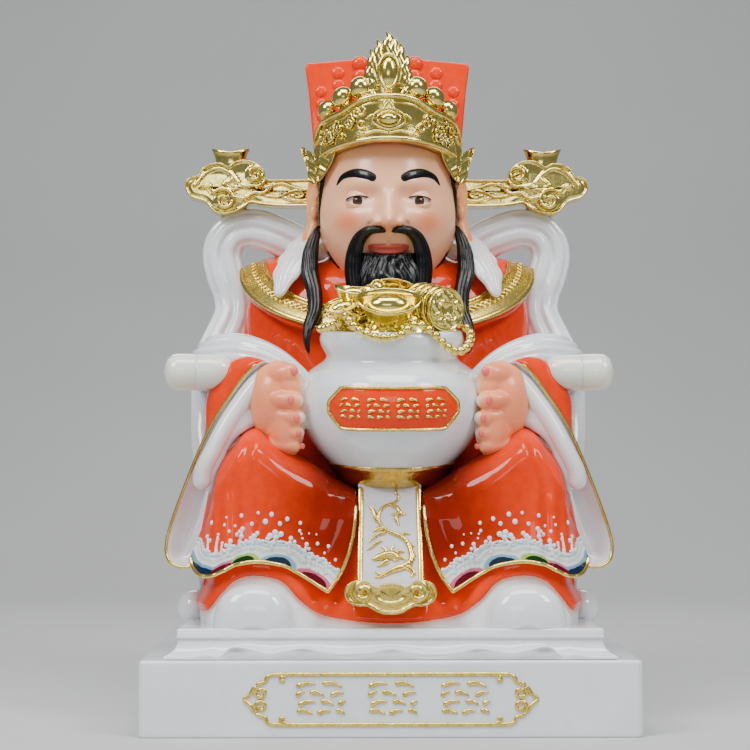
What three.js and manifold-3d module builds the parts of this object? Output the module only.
// A seated god of wealth, an ornament of cast white marble resin, glazed, painted and gilded.
// He sits in a round-backed armchair with a treasure pot on his lap. Millimetres, +Z up, he faces -Y.
// Three pieces: a plinth, the figure cast in one with chair, pot and platform, and a gilt treasure heap
// that is set in the mouth of the pot. The origin is the middle of the plinth's underside.
import * as THREE from "three";
import { mergeVertices } from "three/addons/utils/BufferGeometryUtils.js";
import Module from "manifold-3d";

const wasm = await Module();
wasm.setup();

// Driving sizes.
const figureHeight = 377; // platform underside to the tip of the crown's flame
const plinthHeight = 44;
const sideLedge = 14; // plinth top showing beside the platform
const frontLedge = 2; // and in front of it
const backLedge = 7;
const plinthEdge = 2; // rounding of the plinth's edges
const plinthCorner = 4; // rounding of its upright corners
const glueGap = 0.3; // between the plinth and the figure
const heapGap = 0.4; // between the treasure heap and the pot's mouth, all round and below
const reliefHeight = 1.2; // how far the plinth's gilt frame and strokes stand out
const frameWidth = 168; // the gilt frame on the plinth's front, point to point
const frameHeight = 32;
const frameBar = 2.2;
const strokeLength = 16; // of the strokes inside the frame
const strokeWidth = 2.2;
const reliefSunk = 1; // how deep the plinth's frame and strokes reach into the block

// The figure is drawn at this height and keeps its proportions at any other.
const drawnHeight = 377;
const grow = figureHeight / drawnHeight;
const platformHalfWidth = 131;
const platformFront = -105;
const platformBack = 100;
const platformTop = 17;

const plinthWidth = 2 * platformHalfWidth * grow + 2 * sideLedge;
const plinthDepth = (platformBack - platformFront) * grow + frontLedge + backLedge;

// The treasure pot: a lathed body, tipped forward about its middle.
const potMiddle = new THREE.Vector3(1.6, -45, 149.3);
const potTip = 0.11; // radians
const mouthRadius = 38;
const potSides = 14; // facets round the pot and round all that fits its mouth
const lipTop = 45; // height of the lip above the pot's middle
const mouthDepth = 7; // from the lip down to the heap's seat

const colours = {
  stone: new THREE.MeshStandardMaterial({ color: 0xe4e8e6, roughness: 0.18, metalness: 0 }),
  gilt: new THREE.MeshStandardMaterial({ color: 0xc9a53a, roughness: 0.22, metalness: 1 }),
  figure: new THREE.MeshStandardMaterial({ color: 0xe8501c, roughness: 0.18, metalness: 0 }),
};

const V = (x, y, z) => new THREE.Vector3(x, y, z);
const mix = (a, b, t) => a + (b - a) * t;
const clamp01 = (t) => Math.min(1, Math.max(0, t));
const smooth = (t) => clamp01(t) * clamp01(t) * (3 - 2 * clamp01(t));
const bump = (x, centre, width) => Math.exp(-(((x - centre) / width) ** 2));
const count = (n) => Array.from({ length: n }, (_, i) => i);

// A closed solid from a geometry's positions, turned face out.
function solidOf(geometry) {
  const bare = geometry.clone();
  bare.deleteAttribute("normal");
  bare.deleteAttribute("uv");
  const merged = mergeVertices(bare, 1e-4);
  const at = merged.attributes.position;
  const index = merged.index.array;
  let volume = 0;
  const a = V(0, 0, 0);
  const b = V(0, 0, 0);
  const c = V(0, 0, 0);
  const kept = [];
  for (let i = 0; i < index.length; i += 3) {
    const [p, q, r] = [index[i], index[i + 1], index[i + 2]];
    if (p === q || q === r || r === p) continue;
    a.fromBufferAttribute(at, p);
    b.fromBufferAttribute(at, q);
    c.fromBufferAttribute(at, r);
    volume += a.dot(b.cross(c));
    kept.push(p, q, r);
  }
  if (volume < 0) {
    for (let i = 0; i < kept.length; i += 3) {
      [kept[i + 1], kept[i + 2]] = [kept[i + 2], kept[i + 1]];
    }
  }
  const vertProperties = new Float32Array(at.array);
  return new wasm.Manifold(
    new wasm.Mesh({ numProp: 3, vertProperties, triVerts: new Uint32Array(kept) }),
  );
}

// A closed solid through rings that all have the same number of points, each end closed by a fan.
function ringSolid(rings) {
  const n = rings[0].length;
  const points = rings.flat();
  const middle = (ring) => ring.reduce((sum, p) => sum.add(p), V(0, 0, 0)).divideScalar(n);
  const first = points.length;
  points.push(middle(rings[0]), middle(rings[rings.length - 1]));
  const index = [];
  const last = (rings.length - 1) * n;
  for (let i = 0; i < n; i++) {
    const j = (i + 1) % n;
    for (let r = 0; r < rings.length - 1; r++) {
      const [a, b, c, d] = [r * n + i, r * n + j, (r + 1) * n + i, (r + 1) * n + j];
      index.push(a, b, d, a, d, c);
    }
    index.push(first, j, i, first + 1, last + i, last + j);
  }
  const geometry = new THREE.BufferGeometry().setFromPoints(points);
  geometry.setIndex(index);
  return solidOf(geometry);
}

const join = (solids) => wasm.Manifold.union(solids);

// Both sides of the figure: the given solid and its mirror image in X.
const both = (solid) => join([solid, solid.mirror([1, 0, 0])]);

// Points along a smooth curve through the given ones.
function along(points, steps) {
  const curve = new THREE.CatmullRomCurve3(points, false, "catmullrom", 0.5);
  return count(steps + 1).map((i) => curve.getPoint(i / steps));
}

// A bar swept along a path. section(t, angle) gives the radius pair across the path: along the
// direction "side" and at right angles to it.
function bar(points, steps, sides, section, side = V(0, 1, 0)) {
  const path = along(points, steps);
  const rings = path.map((p, i) => {
    const ahead = path[Math.min(i + 1, steps)].clone().sub(path[Math.max(i - 1, 0)]).normalize();
    const across = side.clone().addScaledVector(ahead, -side.dot(ahead)).normalize();
    const up = ahead.clone().cross(across);
    return count(sides).map((k) => {
      const angle = (2 * Math.PI * k) / sides;
      const [u, v] = section(i / steps, angle);
      return p.clone().addScaledVector(across, u).addScaledVector(up, v);
    });
  });
  return ringSolid(rings);
}

// A round section that swells from its rounded ends: radius(t) in the middle stretch.
const round = (radius) => (t, angle) => {
  const r = typeof radius === "function" ? radius(t) : radius;
  return [r * Math.cos(angle), r * Math.sin(angle)];
};

// Radius share that closes a bar with a rounded end.
const taper = (t, from, to) =>
  Math.sqrt(Math.max(0.02, 1 - Math.max(0, 1 - t / from, 1 - (1 - t) / to) ** 2));

function ball(centre, radii, around = 12, rows = 8) {
  const geometry = new THREE.SphereGeometry(1, around, rows);
  geometry.rotateX(Math.PI / 2);
  geometry.scale(radii[0], radii[1], radii[2]);
  geometry.translate(centre[0], centre[1], centre[2]);
  return solidOf(geometry);
}

// An outline in X and Z, made solid from front (y) to back (y + depth), its front edge chamfered.
function plate(outline, y, depth, chamfer) {
  const flat = outline.map(([x, z]) => new THREE.Vector2(x, z));
  const area = THREE.ShapeUtils.area(flat);
  if (area < 0) flat.reverse();
  const geometry = new THREE.ExtrudeGeometry(new THREE.Shape(flat), {
    depth: depth - chamfer,
    bevelEnabled: chamfer > 0,
    bevelThickness: chamfer,
    bevelSize: chamfer,
    bevelOffset: -chamfer,
    bevelSegments: 1,
  });
  geometry.rotateX(Math.PI / 2);
  geometry.translate(0, y + depth - chamfer, 0);
  return solidOf(geometry);
}

// A smooth closed outline through points of X and Z.
function outlineThrough(points, steps) {
  const curve = new THREE.CatmullRomCurve3(points.map(([x, z]) => V(x, 0, z)), true, "catmullrom", 0.5);
  return count(steps).map((i) => {
    const p = curve.getPoint(i / steps);
    return [p.x, p.z];
  });
}

// The plinth.

// A rectangle with rounded corners, as a ring at one height.
function roundedRing(halfWidth, front, back, corner, z, steps = 3) {
  const corners = [
    [halfWidth - corner, front + corner, -Math.PI / 2],
    [halfWidth - corner, back - corner, 0],
    [-halfWidth + corner, back - corner, Math.PI / 2],
    [-halfWidth + corner, front + corner, Math.PI],
  ];
  return corners.flatMap(([x, y, start]) =>
    count(steps + 1).map((i) => {
      const angle = start + ((Math.PI / 2) * i) / steps;
      return V(x + corner * Math.cos(angle), y + corner * Math.sin(angle), z);
    }),
  );
}

function plinth() {
  const [w, d] = [plinthWidth / 2, plinthDepth / 2];
  const level = (z, inset) => roundedRing(w - inset, -d + inset, d - inset, plinthCorner, z);
  const block = ringSolid([
    level(0, plinthEdge / 2),
    level(plinthEdge / 2, 0),
    level(plinthHeight - plinthEdge, 0),
    level(plinthHeight - plinthEdge * 0.3, plinthEdge * 0.3),
    level(plinthHeight, plinthEdge),
  ]);
  return join([block, plinthFrame(-d), plinthStrokes(-d)]);
}

// The frame round the inscription: straight above and below, with a leaf-shaped point at each end.
function plinthFrame(front) {
  const [w, h] = [frameWidth / 2, frameHeight / 2];
  const ends = [[0.81, 1], [0.88, 0.86], [0.915, 0.52], [0.955, 0.4], [1, 0]];
  const quarter = ends.map(([x, z]) => [x * w, z * h]);
  const right = [...quarter, ...quarter.slice(0, -1).reverse().map(([x, z]) => [x, -z])];
  const outer = [...right, ...right.map(([x, z]) => [-x, -z])];
  const lower = 1 - (2 * frameBar) / frameHeight;
  const inner = outer.map(([x, z]) => [x - Math.sign(x) * frameBar, z * lower]);
  const shape = new THREE.Shape(outer.map(([x, z]) => new THREE.Vector2(x, z)));
  shape.holes.push(new THREE.Path(inner.reverse().map(([x, z]) => new THREE.Vector2(x, z))));
  const depth = reliefHeight + reliefSunk;
  const geometry = new THREE.ExtrudeGeometry(shape, { depth, bevelEnabled: false });
  geometry.rotateX(Math.PI / 2);
  geometry.translate(0, front + reliefSunk, plinthHeight / 2);
  return solidOf(geometry);
}

// In place of the inscription: three blocks, each of three rows, one slanting stroke to a row.
function plinthStrokes(front) {
  const spacing = 0.241 * frameWidth;
  const rowStep = 0.19 * frameHeight;
  const stroke = (block, row) => {
    const geometry = new THREE.BoxGeometry(strokeLength, reliefHeight + reliefSunk, strokeWidth);
    geometry.rotateY(0.2 * (row + block));
    geometry.translate(
      block * spacing,
      front + (reliefSunk - reliefHeight) / 2,
      plinthHeight / 2 + row * rowStep,
    );
    return solidOf(geometry);
  };
  const steps = [-1, 0, 1];
  return join(steps.flatMap((block) => steps.map((row) => stroke(block, row))));
}

// The platform under the chair.

function platform() {
  const sideSteps = 1;
  const frontSteps = 13;
  const ring = (z, inset, wave) => {
    const [w, f, b] = [platformHalfWidth - inset, platformFront + inset, platformBack - inset];
    const corners = [V(-w, f, z), V(w, f, z), V(w, b, z), V(-w, b, z)];
    return corners.flatMap((from, side) => {
      const to = corners[(side + 1) % 4];
      const steps = side === 0 ? frontSteps : sideSteps;
      return count(steps).map((i) => {
        const p = from.clone().lerp(to, i / steps);
        if (side === 0) p.z += wave * platformWave(p.x);
        return p;
      });
    });
  };
  return ringSolid([
    ring(0, 0, 0),
    ring(4.8, 0, 1),
    ring(6.6, 2.4, 1),
    ring(10.6, 7.6, 0),
    ring(11.4, 6.4, 0),
    ring(platformTop, 6.6, 0),
  ]);
}

// The carved skirt's upper edge swells over six low humps between plain ends.
const platformWave = (x) => 1.3 * Math.cos((2 * Math.PI * x) / 42) * smooth((104 - Math.abs(x)) / 14);

// The armchair.

const railRadius = 11.3;
const railHeight = 168;
const railPath = [
  [137.5, -52, railHeight],
  [124, -51, railHeight],
  [112.5, -44, railHeight],
  [112, -22, railHeight],
  [114, 30, railHeight],
  [100, 72, railHeight],
  [66, 88, railHeight],
  [0, 88.5, railHeight],
];

function armchair() {
  const half = railPath.map(([x, y, z]) => V(x, y, z));
  const whole = [...half, ...half.slice(0, -1).reverse().map((p) => V(-p.x, p.y, p.z))];
  const end = (t) => (t === 0 || t === 1 ? 0.66 : 1);
  const rail = bar(whole, 16, 6, round((t) => railRadius * end(t)), V(0, 0, 1));
  const gripPath = [V(116, -45, railHeight), V(107, -49, railHeight + 0.5), V(95, -47, railHeight + 3)];
  const grip = bar(gripPath, 2, 5, round((t) => mix(8, 11, 4 * t * (1 - t))), V(0, 0, 1));
  const wallSteps = 7;
  const wallPath = along(whole.slice(3, -3), wallSteps);
  const thick = 5.5;
  const rings = wallPath.map((p, i) => {
    const next = wallPath[Math.min(i + 1, wallSteps)].clone().sub(wallPath[Math.max(i - 1, 0)]);
    const out = V(next.y, -next.x, 0).normalize().multiplyScalar(thick);
    return [
      V(p.x - out.x, p.y - out.y, platformTop - 1),
      V(p.x + out.x, p.y + out.y, platformTop - 1),
      V(p.x + out.x, p.y + out.y, p.z),
      V(p.x - out.x, p.y - out.y, p.z),
    ];
  });
  const foot = ball([117, -26, platformTop + 14], [12, 15, 16], 6, 3);
  const seat = solidOf(new THREE.BoxGeometry(204, 104, 126).translate(0, 36, platformTop + 62));
  return join([rail, both(grip), ringSolid(rings), both(foot), seat]);
}

// The robe over the lap and legs.

// How far a leg swells forward at a distance from the middle: 1 over the knee, 0 beside it.
const legSwell = (x) => clamp01(1 - ((Math.abs(x) - 76) / 52) ** 2);

// The hem of a front panel, from its inner point to its outer end, as distance from the middle and height.
const hemPoints = [
  [37, 38],
  [45, 43.5],
  [53, 48.5],
  [67, 54],
  [80, 55],
  [93, 51.5],
  [103, 47.5],
  [111, 49],
  [117, 56],
];

// The line over the lap and knees where a front panel turns back, in the same way.
const kneeLine = [
  [19, 97],
  [30, 103],
  [47.5, 115],
  [62, 123],
  [72, 130.5],
  [80, 135],
  [88, 131.5],
  [94, 125.5],
  [101.5, 117.5],
  [109, 104],
];

// The height between points like those, given a distance from the middle.
function between(points, x) {
  const side = Math.abs(x);
  const i = Math.min(points.length - 2, Math.max(0, points.findIndex((p) => p[0] > side) - 1));
  const [a, b] = [points[i], points[i + 1]];
  return mix(a[1], b[1], smooth((side - a[0]) / (b[0] - a[0])));
}

// Soft upright folds near the outside of each leg.
const robeFold = (x, z) =>
  1.5 * bump(Math.abs(x), 97, 4.5) + 1.1 * bump(Math.abs(x), 86, 4) * smooth((120 - z) / 60);

// How far forward a panel's inner edge stands beside the apron.
const panelEdgeY = (z) => mix(-87, -70, clamp01((z - 36) / 62));

// One front panel of the robe: it hangs from the lap over the knee to the hem.
function frontPanel() {
  const innerTop = 19;
  const innerLow = 37;
  const outerTop = 109;
  const outerLow = 117;
  const kneeDrop = 22;
  const kneeReach = 30;
  const columns = 7;
  const rings = count(columns + 1).map((i) => {
    const share = i / columns;
    const ring = [];
    const low = mix(innerLow, outerLow, share);
    const high = mix(innerTop, outerTop, share);
    const swell = legSwell(mix(low, high, 0.5));
    const top = between(kneeLine, high);
    const kneeY = -(66 + 20 * swell);
    const hemY = -(70 + 19 * swell);
    const hem = between(hemPoints, low);
    const edge = smooth((0.3 - share) / 0.3);
    for (const t of [0, 0.4, 1]) {
      const z = mix(hem, top - kneeDrop, t);
      const x = mix(low, high, t ** 0.6);
      const y = mix(hemY, kneeY, t) - robeFold(x, z);
      ring.push(V(x, mix(y, panelEdgeY(z), edge), z));
    }
    const turnY = ring[2].y;
    for (const angle of [0.5, 1.05, Math.PI / 2]) {
      const y = turnY + kneeReach * (1 - Math.cos(angle));
      ring.push(V(high, y, top - kneeDrop + kneeDrop * Math.sin(angle)));
    }
    ring.push(V(high, 10, top - 3), V(high, 10, 70), V(low, ring[0].y + 16, hem + 4));
    return ring;
  });
  return ringSolid(rings);
}

// How far forward the lap stands between the legs.
const lapY = (z) => mix(-84, -79, clamp01((z - 17) / 43)) + 16 * clamp01((z - 60) / 38);

// The under-robe: down over the shins to the platform, lower between the boots.
function underRobe() {
  const columns = 10;
  const rings = count(columns + 1).map((i) => {
    const x = mix(-114, 114, i / columns);
    const side = Math.abs(x);
    const swell = legSwell(x);
    const front = (z) => {
      const leg = -(64 + 20 * swell);
      const spread = mix(-6, 0, clamp01((z - platformTop) / 30));
      return mix(leg, lapY(z), smooth((46 - side) / 26)) + spread - 0.6 * robeFold(x, z);
    };
    const top = mix(60, 98, smooth((44 - side) / 12));
    const levels = [platformTop - 1, 24, 33, 45, top];
    const ring = levels.map((z) => V(x, front(z), z));
    ring.push(V(x, -10, top), V(x, -10, platformTop - 1));
    return ring;
  });
  return ringSolid(rings);
}

// A round-toed boot, seen from its toe.
function boot() {
  const middle = 80.5;
  const heel = -60;
  const [halfWidth, length, height] = [22.8, 37, 25];
  const rows = [
    [0, 1],
    [0.6, 0.96],
    [0.93, 0.72],
    [1, 0.3],
  ];
  const rings = rows.map(([push, size]) => {
    const y = heel - length * push;
    const ring = count(8).map((i) => {
      const angle = (Math.PI * i) / 7;
      return V(middle + halfWidth * size * Math.cos(angle), y, platformTop + height * size * Math.sin(angle));
    });
    ring.push(V(middle - halfWidth * size, y, platformTop - 1));
    ring.push(V(middle + halfWidth * size, y, platformTop - 1));
    return ring;
  });
  return ringSolid(rings);
}

// The apron between the legs, with its raised borders, a coiling relief and a cloud-head weight below.
const apronY = (z) => mix(-96, -66, clamp01((z - 43) / 56));

function apron() {
  const half = 18.5;
  const panel = ringSolid(
    [100, 78, 58, 38].map((z) => {
      const y = apronY(z);
      return [V(-half, y, z), V(half, y, z), V(half, y + 20, z), V(-half, y + 20, z)];
    }),
  );
  const border = bar(
    [V(half - 1.5, apronY(100), 100), V(half - 1.5, apronY(70), 70), V(half - 1, apronY(40), 40)],
    2, 4, round(1.8),
  );
  const turns = 6;
  const coil = count(turns + 1).map((i) => {
    const t = i / turns;
    const z = mix(94, 52, t);
    return V(8.5 * Math.sin(2.2 * Math.PI * t), apronY(z) - 0.4, z);
  });
  const relief = bar(coil, 7, 3, round((t) => mix(0.9, 2.2, t)));
  const head = ball([-4, apronY(56) - 0.6, 55], [5.5, 2.4, 3.4], 6, 4);
  const cloudHalf = [
    [11, 26.5],
    [18, 32],
    [25, 31.5],
    [26.5, 36],
    [22, 43.5],
    [15, 44.5],
    [9, 40],
  ];
  const outline = outlineThrough(
    [[0, 25.3], ...cloudHalf, [0, 42], ...cloudHalf.map(([x, z]) => [-x, z]).reverse()],
    16,
  );
  const weight = plate(outline, -99, 12, 1.6);
  const lump = ball([0, -99, 34.5], [10, 2, 5], 8, 4);
  const curl = ball([17, -99, 38.5], [5.5, 2.6, 4.6], 6, 4);
  return join([panel, both(border), relief, head, weight, lump, both(curl)]);
}

// Body, shoulders and the cape collar.

// The cape's rim: a tilted oval round the shoulders, low in front. Angle 0 is the front.
const rimSize = [95, 58, 44.5];
const rimMiddle = [0, 5, 237.6];
const capeRim = (angle, share) => {
  const front = Math.cos(angle);
  const drop = front > 0 ? front : 0.45 * front;
  return V(
    rimSize[0] * share * Math.sin(angle),
    rimMiddle[1] - rimSize[1] * share * (front > 0 ? front : 0.78 * front),
    rimMiddle[2] - rimSize[2] * share * drop + 10 * (1 - share),
  );
};

function body() {
  const levels = [
    [96, 88, 60, 12],
    [140, 90, 56, 10],
    [176, 92, 50, 10],
    [224, 86, 42, 8],
    [236, 70, 33, 7],
    [244, 40, 25, 0],
    [262, 30, 24, -4],
  ];
  const sides = 10;
  return ringSolid(
    levels.map(([z, w, d, y]) =>
      count(sides).map((i) => {
        const angle = (2 * Math.PI * i) / sides;
        return V(w * Math.cos(angle), y + d * Math.sin(angle), z);
      }),
    ),
  );
}

function cape() {
  const steps = 12;
  const angles = count(steps).map((i) => (2 * Math.PI * i) / steps);
  const ring = (share, lift) => angles.map((a) => capeRim(a, share).add(V(0, 0, lift)));
  const cloth = ringSolid([ring(0.35, -12), ring(0.95, -12), ring(0.98, -3), ring(0.86, 0.6), ring(0.35, 9)]);
  return join([cloth, capeBand(0.965, 2.6, 10)]);
}

// The gilt band that edges the cape in front, from shoulder to shoulder.
function capeBand(share, radius, steps) {
  const path = count(steps + 1).map((i) => capeRim(mix(-1.62, 1.62, i / steps), share).add(V(0, 0, -1)));
  return bar(path, steps, 4, round((t) => radius * taper(t, 0.06, 0.06)), V(0, 0, 1));
}

// Arms, sleeves and hands, drawn on the right and mirrored.

// The white inner sleeve that hangs with a rounded end inside the outer one.
function innerSleeve() {
  return bar(
    [V(74, -55, 163), V(86, -62, 149), V(97, -66, 132), V(106.5, -69, 114), V(112, -67, 95)],
    3,
    5,
    (t, angle) => {
      const size = taper(t, 0.1, 0.12);
      return [mix(9, 7, t) * size * Math.cos(angle), mix(13, 7, t) * size * Math.sin(angle)];
    },
  );
}

// The mouth of the hanging outer sleeve, seen from the front: outer edge down, inner edge up.
const sleeveMouth = [
  [76, -66, 174],
  [95, -61, 154],
  [111.5, -57, 127],
  [122.5, -55, 102],
  [132, -56, 76],
  [135, -58, 61],
  [129, -61, 52.5],
  [119, -62, 51],
  [110, -62, 62],
  [103, -62, 90],
  [94, -62, 118],
  [80, -62, 142],
  [68, -62, 160],
];

function outerSleeve() {
  const mouth = sleeveMouth.map(([x, y, z]) => V(x, y, z));
  const curve = new THREE.CatmullRomCurve3(mouth, true, "catmullrom", 0.5);
  const steps = 11;
  const rim = count(steps).map((i) => curve.getPoint(i / steps));
  const middle = V(108, -48, 100);
  const ring = (share, back, lean) =>
    rim.map((p) => {
      const q = p.clone().lerp(V(mix(middle.x, p.x, 0.3), p.y, mix(middle.z, p.z, 0.65)), 1 - share);
      return V(q.x + lean * (p.x > 108 ? 0 : 1), p.y + back, q.z);
    });
  // Behind the rim the cloth swells outwards where it runs up under the armrest.
  const swollen = (points) =>
    points.map((p) => {
      const swell = p.x > 84 ? 8 * bump(p.z, 154, 22) : 0;
      return V(p.x + swell, p.y, p.z + 0.6 * swell);
    });
  return ringSolid([
    ring(0.45, 14, 0),
    ring(0.92, 2, 0),
    ring(1, 0.6, 0),
    swollen(ring(0.98, 20, 0)),
    ring(0.8, 34, 0),
  ]);
}

// The scarf's end that wraps over the forearm in long pleats.
function armWrap() {
  return bar(
    [V(116, 4, 174), V(107, -17, 178.5), V(90, -34, 179.5), V(70, -44, 173.5), V(46, -50, 155)],
    5,
    7,
    (t, angle) => {
      const size = taper(t, 0.12, 0.2) * (1 + 0.08 * Math.cos(4 * angle));
      return [mix(15, 12, t) * size * Math.cos(angle), mix(17, 10, t) * size * Math.sin(angle)];
    },
  );
}

// A hand laid on the side of the pot: the back of the hand, four fingers that reach forward, a thumb above.
function hand() {
  const back = ball([67.5, -60, 149], [17.5, 16, 25], 6, 4);
  const fingers = count(4).map((i) => {
    const z = 149.5 - 8.9 * i;
    const path = [V(76 - i, -60, z + 2), V(66, -73 + i, z + 1), V(50, -77 + 1.2 * i, z - 0.6)];
    return bar(path, 2, 4, round((t) => mix(5.8, 4.4, t * t)), V(0, 0, 1));
  });
  const thumbPath = [V(76, -58, 158), V(66, -70, 165), V(52.5, -73, 165.6)];
  const thumb = bar(thumbPath, 2, 5, round((t) => mix(7, 5, t * t)), V(0, 0, 1));
  return join([back, ...fingers, thumb]);
}

// The long scarf that arches from the neck over each shoulder.

function scarf() {
  const path = [
    V(24, 20, 245),
    V(40, 22, 248.5),
    V(55.4, 24, 253.5),
    V(71.3, 24, 261),
    V(86.5, 24, 265.5),
    V(98.6, 24, 263.5),
    V(105.4, 24, 256.5),
    V(107.4, 24, 246.4),
    V(104.4, 22.5, 233.4),
    V(100, 21, 220.8),
    V(99.4, 17, 208),
    V(106, 8, 191),
    V(112, 0, 177),
  ];
  return bar(path, 11, 6, (t, angle) => [8 * Math.cos(angle), 12.4 * Math.sin(angle)]);
}

// The scarf's short tail, a pleated leaf that lies on the cape beside the neck.
function scarfTail() {
  const section = (t, angle) => {
    const size = taper(t, 0.25, 0.3) * (1 + 0.1 * Math.cos(4 * angle));
    return [5 * size * Math.cos(angle), 11.5 * size * Math.sin(angle)];
  };
  const path = [V(50, -6, 256), V(56, -16, 245), V(64, -26, 229), V(68, -32, 217)];
  return bar(path, 3, 7, section, V(0.35, -0.7, 0.6));
}

// The head.

const headMiddle = [0, -16, 272];
const headSize = [43, 44, 52];

// Distance from the head's middle in a direction, as a share of the plain egg.
// The face is a plain one on the usual proportions: eyes half way down, nose and mouth in the thirds below.
function faceShare(x, z, front) {
  if (front <= 0) return 1;
  const eyes = 0.04;
  const brow = 0.2;
  const nose = -0.28;
  const mouth = -0.5;
  const side = Math.abs(x);
  let share = 1 + 0.03 * bump(side, 0.42, 0.24) * bump(z, -0.2, 0.22);
  share += 0.018 * bump(z, brow, 0.07) * bump(side, 0.3, 0.24);
  share -= 0.05 * bump(z, eyes, 0.09) * bump(side, 0.36, 0.16);
  const bridge = smooth((brow - z) / (brow - nose)) * smooth((z - nose + 0.08) / 0.08);
  share += 0.17 * bridge * bump(side, 0, 0.07 + 0.07 * bridge);
  share += 0.05 * bump(z, nose + 0.02, 0.06) * bump(side, 0.13, 0.07);
  share += 0.035 * bump(z, mouth, 0.09) * bump(side, 0, 0.24);
  share -= 0.03 * bump(z, mouth - 0.16, 0.05) * bump(side, 0, 0.2);
  share += 0.04 * bump(z, -0.82, 0.14) * bump(side, 0, 0.26);
  return mix(1, share, smooth(front * 2.5));
}

function head() {
  const [around, rows] = [14, 10];
  const rings = count(rows + 1).map((r) => {
    const up = mix(-1.4, 1.4, r / rows);
    return count(around).map((i) => {
      const turn = (2 * Math.PI * i) / around;
      const [x, y, z] = [Math.sin(turn) * Math.cos(up), -Math.cos(turn) * Math.cos(up), Math.sin(up)];
      const share = faceShare(x, z, -y);
      const jaw = 1 + 0.05 * bump(z, -0.45, 0.4);
      return V(
        headMiddle[0] + headSize[0] * x * share * jaw,
        headMiddle[1] + headSize[1] * y * share,
        headMiddle[2] + headSize[2] * z,
      );
    });
  });
  return ringSolid(rings);
}

// An ear with the long lobe of good fortune.
function ear() {
  const section = (t, angle) => {
    const size = taper(t, 0.2, 0.2);
    return [mix(8, 5.5, t) * size * Math.cos(angle), mix(4.5, 5.2, t) * size * Math.sin(angle)];
  };
  const path = [V(42, -10, 290), V(47, -6, 280), V(46, -8, 264), V(50, -9, 252), V(51, -9, 246)];
  return bar(path, 4, 5, section, V(0, 1, 0.1));
}

// Beard, moustache and the long side lock, each with the ridges of its strands.
function hair() {
  const ridge = (angle) => 1 + 0.1 * Math.cos(5 * angle);
  const moustache = bar(
    [V(3, -61, 252), V(12, -59, 252), V(20, -55, 244), V(23, -54, 230), V(22, -56, 214)],
    4,
    4,
    (t, angle) => {
      const size = taper(t, 0.3, 0.05) * ridge(angle);
      return [4.2 * size * Math.cos(angle), mix(4, 6.5, t) * size * Math.sin(angle)];
    },
    V(0, -1, 0),
  );
  const beard = bar(
    [V(0, -50, 240), V(0, -55, 228), V(0, -56, 212)],
    2,
    8,
    (t, angle) => [mix(5, 7, t) * Math.cos(angle) * ridge(angle), mix(20, 23, t) * Math.sin(angle)],
    V(0, -1, 0),
  );
  const lock = bar(
    [V(40, -20, 262), V(48, -28, 244), V(48, -32, 228), V(45, -44, 210), V(49, -56, 196), V(48, -60, 178)],
    5,
    4,
    (t, angle) => {
      const size = taper(t, 0.3, 0.55) * ridge(angle);
      return [4.4 * size * Math.cos(angle), 5.4 * size * Math.sin(angle)];
    },
    V(0, -1, 0.2),
  );
  return join([both(moustache), beard, both(lock)]);
}

// The hat.

const bandMiddle = -18;
const bandSize = [43, 47];

function hat() {
  const dome = ball([0, -14, 318], [40, 43, 26], 10, 5);
  const half = [
    [46, 304],
    [50, 348],
    [52, 365],
    [18, 369.2],
  ];
  const outline = [...half, ...half.map(([x, z]) => [-x, z]).reverse()];
  const board = plate(outline, -14, 30, 0);
  const column = [
    [17.4, 366, 2],
    [31.2, 360, 2],
    [42, 348, 1],
  ];
  const bumps = column.flatMap(([x, top, n]) =>
    count(n).map((i) => both(ball([x, -14, top - 8 * i], [4.6, 2.8, 4.4], 5, 3))),
  );
  return join([dome, board, ...bumps]);
}

// The crown's band: lower at the sides, its top edge rising to the middle of the front.
const bandLow = (turn) => 307.5 - 9 * (1 - Math.cos(turn));
const bandHigh = (turn) =>
  bandLow(turn) + 22 + 6 * smooth((Math.cos(turn) - 0.75) / 0.25) - 8 * smooth((Math.abs(turn) - 1.1) / 0.6);

function crown() {
  const steps = 9;
  const reach = 1.75;
  const rings = count(steps + 1).map((i) => {
    const turn = mix(-reach, reach, i / steps);
    const out = (lift, z) =>
      V((bandSize[0] + lift) * Math.sin(turn), bandMiddle - (bandSize[1] + lift) * Math.cos(turn), z);
    const [low, high] = [bandLow(turn), bandHigh(turn)];
    return [
      out(-9.5, low),
      out(2.6, low),
      out(2.6, low + 2.4),
      out(0.8, low + 4),
      out(0.8, high - 4),
      out(2.8, high - 2),
      out(-2, high + 4),
      out(-9.5, high + 4),
    ];
  });
  const pearls = [
    [16.6, -55, 341.4, 6.5],
    [27.6, -46.5, 336.8, 6.7],
    [37.4, -33.5, 331.6, 6],
  ].map(([x, y, z, r]) => both(ball([x, y, z], [r, r, r], 6, 4)));
  const jewel = ball([0, bandMiddle - bandSize[1] - 1, 321], [7, 3.4, 4.6], 6, 3);
  return join([ringSolid(rings), ...pearls, jewel, flame(), both(leaves())]);
}

// The flame that stands on the crown: tongues rising to the middle one, round an oval jewel.
const flameY = -55;
const figureTip = 376.6; // before the upper body is set back

function flame() {
  const half = [
    [0, figureTip],
    [1.8, 368],
    [3.9, 373],
    [5.4, 364],
    [8.2, 367.6],
    [9.6, 358],
    [11.8, 361],
    [11.4, 352],
    [13, 353.6],
    [12, 344],
    [10, 330],
  ];
  const outline = [...half, ...half.slice(1).reverse().map(([x, z]) => [-x, z])];
  return join([plate(outline, flameY, 8, 0), ball([0, flameY - 1.4, 351], [5.8, 3.2, 10], 6, 4)]);
}

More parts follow.
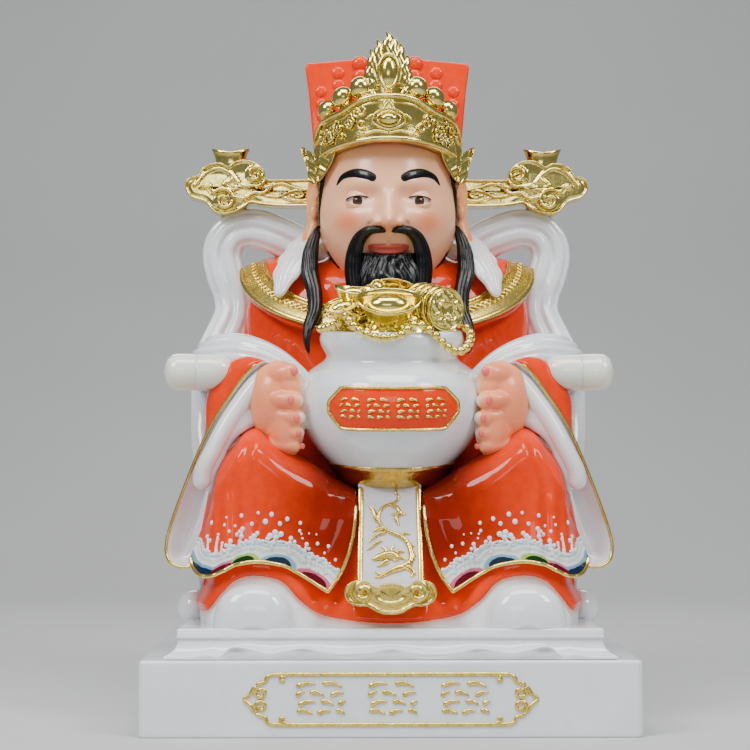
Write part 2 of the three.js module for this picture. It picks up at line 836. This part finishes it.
// A pair of leaves that flare out over the temple.
function leaves() {
  const outer = [
    [44.6, 287],
    [51.6, 299.7],
    [54.8, 311.4],
    [48.6, 308],
    [43.4, 300],
  ];
  const inner = [
    [42.8, 287.5],
    [46.4, 302.9],
    [43.3, 314.5],
    [36, 313.4],
    [32.4, 304.7],
    [38.3, 292.2],
  ];
  return join([plate(outer, -27, 12, 0), plate(inner, -36, 16, 0)]);
}

// The hat's side wings: a cloud-headed plate with a small gold ingot standing on it.

const cloudWing = [
  [30, 279.5],
  [66, 278.5],
  [90, 279.5],
  [97, 275.5],
  [105, 273],
  [113, 276],
  [118, 281.5],
  [127, 284],
  [130.5, 291],
  [126, 297],
  [120, 298.5],
  [118, 303.5],
  [109, 306.5],
  [101, 303],
  [96, 307],
  [88, 306],
  [81, 302],
  [78, 296],
  [60, 295.5],
  [30, 296],
];

function wing() {
  const outline = outlineThrough(cloudWing, 17);
  const board = plate(outline, 10, 16, 1.8);
  const scroll = (x, z, size, turns, turnFrom) =>
    bar(
      count(9).map((i) => {
        const angle = turnFrom + (turns * Math.PI * i) / 8;
        const radius = size * (1 - 0.09 * i);
        return V(x + radius * Math.cos(angle), 9.8, z + radius * Math.sin(angle));
      }),
      6,
      3,
      round(1.7),
    );
  return join([board, scroll(84.6, 298, 7.2, 2.2, 3.4), scroll(105.4, 282, 7.4, 2.2, 0.6), wingIngot()]);
}

function wingIngot() {
  const level = (z, halfX, halfY, rise) =>
    count(8).map((i) => {
      const angle = (2 * Math.PI * i) / 8;
      const [c, s] = [Math.cos(angle), Math.sin(angle)];
      return V(101.5 + halfX * c, 18 + halfY * s, z + rise * Math.abs(c));
    });
  return ringSolid([
    level(302, 9.9, 6.4, 0),
    level(308, 9.6, 6, 0),
    level(311.8, 12.6, 7, 2.8),
    level(310.4, 9.5, 4.5, 1),
  ]);
}

// The treasure pot.

const potProfile = [
  [0, -47],
  [28, -45],
  [38, -36],
  [51.4, -19.5],
  [57.6, 1],
  [55.6, 11.6],
  [44.6, 23.8],
  [mouthRadius + 2.2, 29.6],
  [mouthRadius + 5.5, 38],
  [mouthRadius + 4.2, lipTop - 0.8],
  [mouthRadius, lipTop - 0.4],
  [mouthRadius, lipTop - mouthDepth],
  [0, lipTop - mouthDepth],
];

// From the pot's own frame to the figure's.
function tip(geometry) {
  geometry.rotateX(potTip);
  geometry.translate(potMiddle.x, potMiddle.y, potMiddle.z);
  return geometry;
}

function pot() {
  const geometry = new THREE.LatheGeometry(potProfile.map(([r, z]) => new THREE.Vector2(r, z)), potSides);
  geometry.rotateX(Math.PI / 2);
  return join([solidOf(tip(geometry)), potPanel()]);
}

const potRadius = (z) => {
  const i = potProfile.findIndex((p) => p[1] > z);
  const [a, b] = [potProfile[i - 1], potProfile[i]];
  return mix(a[0], b[0], (z - a[1]) / (b[1] - a[1]));
};

// The raised panel on the pot's front: an eight-cornered field that follows the belly.
function potPanel() {
  const [halfWidth, halfHeight, cut] = [39, 12.6, 9];
  const steps = 6;
  const rings = count(steps + 1).map((i) => {
    const x = mix(-halfWidth, halfWidth, i / steps);
    const h = Math.min(halfHeight, halfHeight - cut + halfWidth - Math.abs(x));
    const level = (z, lift) => {
      const r = potRadius(z) + lift;
      const turn = x / potRadius(0);
      return V(r * Math.sin(turn), -r * Math.cos(turn), z);
    };
    return [level(-h, -3), level(-h, 1.2), level(0, 1.2), level(h, 1.2), level(h, -3)];
  });
  const tipped = (p) => p.applyAxisAngle(V(1, 0, 0), potTip).add(potMiddle);
  return ringSolid(rings.map((ring) => ring.map(tipped)));
}

// The treasure heap.

// A boat-shaped gold ingot: a flared cup with raised ends and a domed middle.
function ingot(length) {
  const half = length / 2;
  const steps = 4;
  const rings = count(steps + 1).map((i) => {
    const t = mix(-1, 1, i / steps);
    const end = Math.sqrt(Math.max(0.004, 1 - t * t));
    const wide = 0.42 * half * end;
    const high = half * (0.34 + 0.3 * t ** 4);
    const low = -half * 0.3 * (1 - t ** 4);
    const x = half * t;
    return [
      V(x * 0.7, -wide * 0.7, low), V(x, -wide, high), V(x, -wide * 0.6, high - 0.14 * half),
      V(x, wide * 0.6, high - 0.14 * half), V(x, wide, high), V(x * 0.7, wide * 0.7, low),
    ];
  });
  const dome = ball([0, 0, half * 0.26], [half * 0.5, half * 0.24, half * 0.26], 5, 3);
  return join([ringSolid(rings), dome]);
}

const degrees = (radians) => (radians * 180) / Math.PI;
const placed = (solid, turn, at) => solid.rotate(turn.map(degrees)).translate(at);

// Ingots of the heap: length, then turns about X, Y and Z, then place above the pot's middle.
const heapIngots = [
  [39, [0.46, 0, 0.02], [-2.4, -26.5, 53.5]],
  [27, [0.25, 0.05, 0.12], [-22.6, -18.2, 62.4]],
  [22, [0.64, -0.28, 0.15], [-28.5, -25, 56.6]],
  [30, [0.16, 0, 1.5], [0.6, -6, 63]],
  [28, [0.1, -0.1, -0.5], [13.4, -10, 62]],
];

// Strings of beads laid over the heap and the pot's lip, in the figure's frame.
const strings = [
  [V(-32, -50, 199), V(-42, -54, 196.5), V(-38.4, -63, 196.2), V(-34, -71, 196.2), V(-25.6, -80, 199)],
  [
    V(-22, -74, 201),
    V(-23.6, -88, 195.8),
    V(-16, -93.6, 189.5),
    V(-0.8, -97, 186),
    V(11.6, -93.4, 192.5),
    V(19.9, -90.4, 193.3),
    V(27.7, -88.4, 187.2),
    V(35.5, -84, 180.2),
    V(39.8, -81, 178.8),
    V(44, -77, 180.2),
    V(48.6, -68, 187.2),
    V(46.6, -60, 195),
    V(34, -58, 199),
  ],
];
const beadRadius = 2.75;

// One string: a bar that swells into a bead at every second step.
function beads(points) {
  const length = new THREE.CatmullRomCurve3(points, false, "catmullrom", 0.5).getLength();
  const steps = 2 * Math.round(length / (2.6 * beadRadius));
  const radius = (t) => (Math.round(t * steps) % 2 ? beadRadius : beadRadius * 0.45);
  return bar(points, steps, 4, round(radius), V(0.3, 0.2, 1));
}

const coinRadius = 13.4;
const coinThick = 3.2;

// A round coin that faces the front, with the square hole's rim standing up in its middle.
function coin(at, turn) {
  const disc = new THREE.CylinderGeometry(coinRadius, coinRadius, coinThick, 10);
  const hub = new THREE.BoxGeometry(5.4, coinThick + 1.4, 5.4);
  return placed(join([solidOf(disc), solidOf(hub)]), turn, at);
}

function treasureHeap() {
  const radius = mouthRadius - heapGap / grow;
  const seat = lipTop - mouthDepth + heapGap / grow;
  const mound = [
    [0, seat],
    [radius, seat],
    [radius, lipTop - 1.2],
    [radius * 0.86, lipTop + 8.8],
    [radius * 0.5, lipTop + 18.8],
    [0, lipTop + 22.8],
  ];
  const geometry = new THREE.LatheGeometry(mound.map(([r, z]) => new THREE.Vector2(r, z)), potSides);
  geometry.rotateX(Math.PI / 2);
  const coins = count(2).map((i) => coin([31.4 - 3.5 * i, -23.2 + 2.6 * i, 58.9 + 0.7 * i], [0.1, 0, 0.58]));
  const ingots = heapIngots.map(([length, turn, at]) => placed(ingot(length), turn, at));
  const goods = placed(join([solidOf(geometry), ...ingots, ...coins]), [potTip, 0, 0], potMiddle.toArray());
  return filled(join([goods, ...strings.map(beads)]));
}

// Putting it together.

// Head and shoulders are drawn at the front of the seat and set back over the hips.
const upperScale = 1.02;
const upperMove = [0, 22.3, -2.3];
const setBack = (solid) => solid.scale(upperScale).translate(upperMove);

// The room over the pot's mouth that the treasure heap fills.
function heapRoom() {
  const profile = [
    [0, lipTop - mouthDepth],
    [mouthRadius, lipTop - mouthDepth],
    [mouthRadius, lipTop],
    [mouthRadius + 3, lipTop + 8],
    [mouthRadius, lipTop + 22],
    [mouthRadius - 10, lipTop + 34],
    [0, lipTop + 38],
  ];
  const geometry = new THREE.LatheGeometry(profile.map(([r, z]) => new THREE.Vector2(r, z)), potSides);
  geometry.rotateX(Math.PI / 2);
  return solidOf(tip(geometry));
}

function seatedFigure() {
  const seat = [platform(), armchair(), both(boot()), underRobe(), both(frontPanel()), apron()];
  const shoulders = [body(), cape(), both(scarf()), both(scarfTail())];
  const headgear = [head(), both(ear()), hair(), hat(), crown(), both(wing())];
  const arms = [both(innerSleeve()), both(outerSleeve()), both(armWrap()), both(hand()), pot()];
  const upper = [...shoulders, ...headgear].map(setBack);
  return filled(join([...seat, ...arms, ...upper]).subtract(heapRoom()));
}

// Hollows that are shut in between the parts are filled: only the outer skin is kept.
const filled = (solid) => join(solid.decompose().filter((shell) => shell.volume() > 0));

function meshOf(name, solid, material) {
  const mesh = solid.getMesh();
  const geometry = new THREE.BufferGeometry();
  geometry.setAttribute("position", new THREE.BufferAttribute(new Float32Array(mesh.vertProperties), 3));
  geometry.setIndex(new THREE.BufferAttribute(new Uint32Array(mesh.triVerts), 1));
  geometry.computeVertexNormals();
  const made = new THREE.Mesh(geometry, material);
  made.name = name;
  return made;
}

// The gilt frame stands out in front, so the whole is moved back by half of that: the origin is the
// middle of everything, seen from below.
const ornament = new THREE.Group();
const base = meshOf("plinth", plinth(), colours.stone);
base.position.y = reliefHeight / 2;
ornament.add(base);

const cast = new THREE.Group();
const figureFront = -plinthDepth / 2 + frontLedge + reliefHeight / 2;
cast.position.set(0, figureFront - platformFront * grow, plinthHeight + glueGap);
cast.add(meshOf("seated_figure", seatedFigure().scale(grow), colours.figure));
cast.add(meshOf("treasure_heap", treasureHeap().scale(grow), colours.gilt));
ornament.add(cast);

export default ornament;
